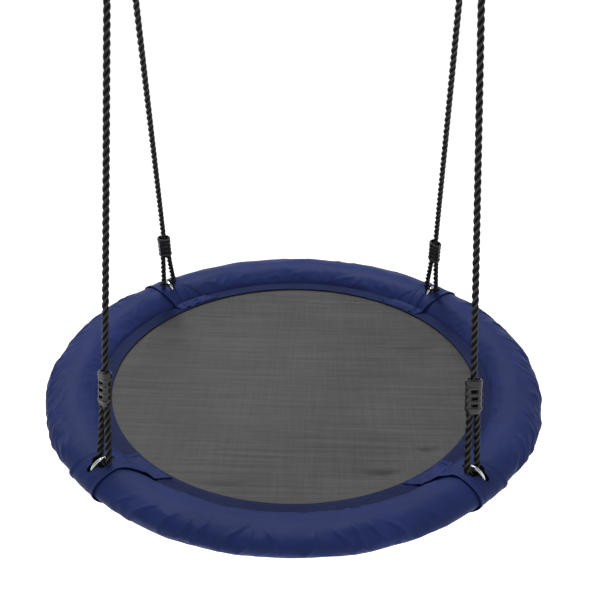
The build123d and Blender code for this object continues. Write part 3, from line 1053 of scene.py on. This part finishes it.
def cuff_stitches(name, stations):
    """A row of stitches inside each free edge and one round the slit."""
    rows = []
    over = [station for station in stations if station[0] == "pad"]
    for side in (-1, 1):
        edge_row, slit_row = [], []
        for station in over:
            plain_r, _ = cuff_point(station, 0.0)
            slit, half = cuff_edges(name, station, side)
            for row, offset, wanted in (
                (edge_row, half - CUFF_SEAM / plain_r, True),
                (slit_row, slit + SLIT_SEAM / plain_r, slit > 0),
            ):
                if wanted:
                    point = cuff_skin(name, station, side, offset, STITCH_R)
                    above = cuff_skin(name, station, side, offset, STITCH_R + CUFF_CLEAR)
                    row.append((point, (above - point).normalized()))
        rows += [edge_row, slit_row]
    sewn_rows(f"cuff_stitches_{name}", rows)


def corner_cuff(name):
    """One cloth wrap: two halves that meet along the middle, apart from the slit."""
    stations = cuff_path()
    vertices, uvs = [], []
    run, area, widest, last = 0.0, 0.0, 0.0, None
    for station in stations:
        plain = cuff_point(station, 0.0)
        step = 0.0
        if last is not None:
            step = sqrt((plain[0] - last[0]) ** 2 + (plain[1] - last[1]) ** 2)
        last = plain
        run += step
        width = 0.0
        for side in (-1, 1):
            slit, half = cuff_edges(name, station, side)
            width += (half - slit) * plain[0]
            for c in range(CUFF_COLUMNS):
                offset = slit + (half - slit) * c / (CUFF_COLUMNS - 1)
                vertices.append(cuff_skin(name, station, side, offset))
                uvs.append((side * offset * FRAME_R, run))
        area += width * step
        widest = max(widest, width)
    faces, columns = [], 2 * CUFF_COLUMNS
    for k in range(len(stations) - 1):
        for base in (0, CUFF_COLUMNS):
            for c in range(CUFF_COLUMNS - 1):
                a, b = k * columns + base + c, (k + 1) * columns + base + c
                face = (a, a + 1, b + 1, b)
                faces.append(face if base else tuple(reversed(face)))
    piece = new_piece(f"corner_wrap_{name}", vertices, faces, NAVY, uvs)
    weld = piece.modifiers.new("weld", "WELD")
    weld.merge_threshold = WELD_DISTANCE
    thicken(piece, CLOTH)
    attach(piece, "seat")
    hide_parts(f"corner_cuff_{name}")
    cuff_stitches(name, stations)


for name in CORNERS:
    corner_cuff(name)


# ---- mat: a round sheet of woven mesh, slightly slack ----
MAT_SAG = 0.005
# Creases pulled in the mat beside the hem: place across, place back, half length and depth.
MAT_CREASES = (
    (-0.285, 0.130, 0.032, 0.0050),
    (0.262, 0.120, 0.048, 0.0048),
    (0.262, -0.226, 0.026, 0.0056),
    (0.172, -0.296, 0.034, 0.0056),
    (-0.120, -0.335, 0.050, 0.0026),
    (0.060, 0.325, 0.060, 0.0026),
)
CREASE_HALF_WIDTH = 0.0060
CREASE_BEND = 0.12
MAT_WAVE = 0.0016
MAT_FINE_WAVE = 0.0009
MAT_EDGE_PULL = 0.0011


def mat_height(x, y):
    """Sag and slack waves of the mat under its flat CAD face."""
    share = min(1.0, sqrt(x * x + y * y) / HEM_R)
    free = 1 - share**2
    waves = MAT_WAVE * noise.noise(Vector((x * 3.0, y * 16.0, 1.0)))
    waves += MAT_FINE_WAVE * noise.noise(Vector((x * 6, y * 30, 4.0)))
    near_edge = ease(share, 0.55, 0.9) * (1 - ease(share, 0.93, 1.0))
    edge_pull = MAT_EDGE_PULL * creases(atan2(y, x) * 9, share * 2, 2.0) * near_edge
    pulled = 0.0
    for across, back, half_length, depth in MAT_CREASES:
        away = (y - back - CREASE_BEND * (x - across) ** 2 / half_length) / CREASE_HALF_WIDTH
        pulled -= depth * exp(-(away**2)) * exp(-(((x - across) / half_length) ** 2))
    return -MAT_SAG * free + (waves + pulled) * ease(free, 0.0, 0.15) + edge_pull


def mesh_mat():
    """The woven mesh, one sheet out to its sewn edge under the hem."""
    rings, spokes = 150, 420
    vertices = [polar(0, 0, MAT_TOP + mat_height(0, 0))]
    for i in range(1, rings + 1):
        radius = MAT_R * i / rings
        for j in range(spokes):
            azimuth = 2 * pi * j / spokes
            point = polar(radius, azimuth, MAT_TOP)
            point.z += mat_height(point.x, point.y) if radius < HEM_R else 0.0
            vertices.append(point)
    faces = [(0, 1 + j, 1 + (j + 1) % spokes) for j in range(spokes)]
    faces += [tuple(reversed(f)) for f in grid_faces(rings, spokes, close_columns=True, start=1)]
    uvs = [(v.x, v.y) for v in vertices]
    piece = new_piece("mesh_mat_sheet", vertices, faces, MESH, uvs)
    thicken(piece, MAT_THICK)
    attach(piece, "seat")
    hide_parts("mesh_mat")


mesh_mat()


# ---- CAD nodes that keep their shape ----
def dress(nodes, material):
    """Gives CAD nodes their material."""
    for node in nodes:
        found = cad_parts[node]
        found.data.materials.clear()
        found.data.materials.append(material)


dress([f"frame_ring_{c}" for c in CORNERS], ZINC)
dress([f"hanging_ring_{s}" for s in ("left", "right")], ZINC)
dress([f"rope_ferrule_{c}" for c in CORNERS], PLASTIC)
dress([f"frame_tube_{s}" for s in SIDES], COATED)
dress([f"foam_sleeve_{s}" for s in SIDES], FOAM)
dress(["joint_bolts", "joint_nuts"], ZINC)


# ---- floor, light and camera ----
FLOOR_Z = SEAT_Z - 1.25
FLOOR_HALF = 14.0
CAMERA_AT = (0.0515, -1.3890, -0.0105)
CAMERA_TARGET = (0.0231, 0.0, -0.8171)
CAMERA_ROLL = 0.57
CAMERA_LENS = 46.57
KEY_LIGHT_AT = (-0.45, 1.35, 1.8)
FILL_LIGHT_AT = (1.9, -1.2, 1.0)


def make_floor():
    """A wide pale floor under the swing."""
    corners = [(x * FLOOR_HALF, y * FLOOR_HALF, FLOOR_Z) for x, y in ((-1, -1), (1, -1), (1, 1), (-1, 1))]
    floor = new_piece("studio_floor", corners, [(0, 1, 2, 3)], floor_paint(), smooth=False)


def aimed(name, data, place, target, roll=0.0):
    """A light or camera that looks from a place at a target, with its roll in degrees."""
    piece = bpy.data.objects.new(name, data)
    piece.location = place
    piece.rotation_mode = "QUATERNION"
    look = (Vector(target) - Vector(place)).to_track_quat("-Z", "Y")
    piece.rotation_quaternion = look @ Quaternion((0, 0, 1), radians(roll))
    bpy.context.scene.collection.objects.link(piece)
    return piece


def area_light(name, place, size, power):
    """A square soft white light aimed at the seat, with its size in metres and power in watts."""
    data = bpy.data.lights.new(name, "AREA")
    data.size = size
    data.energy = power
    aimed(name, data, place, (0, 0, SEAT_Z))


def make_light():
    """White surroundings, dimmer overhead, a strong light behind and a weaker one in front."""
    world = bpy.data.worlds.new("studio_air")
    world.use_nodes = True
    tree = world.node_tree
    split = add(tree, "ShaderNodeSeparateXYZ")
    link(tree, (texture_space(tree, "Generated"), split.inputs["Vector"]))
    sky = ramp(tree, split.outputs["Z"], [(0.0, 1.0), (0.30, 1.0), (0.62, 0.32)])
    link(tree, (sky, tree.nodes["Background"].inputs["Color"]))
    bpy.context.scene.world = world
    area_light("key_light", KEY_LIGHT_AT, size=0.9, power=75)
    area_light("fill_light", FILL_LIGHT_AT, size=1.6, power=10)
    bpy.context.scene.view_settings.view_transform = "Standard"


def make_camera():
    """The camera stands in front of the swing and looks down at it."""
    data = bpy.data.cameras.new("camera")
    data.lens = CAMERA_LENS
    data.sensor_width = 36
    bpy.context.scene.camera = aimed("camera", data, CAMERA_AT, CAMERA_TARGET, CAMERA_ROLL)


make_floor()
make_light()
make_camera()
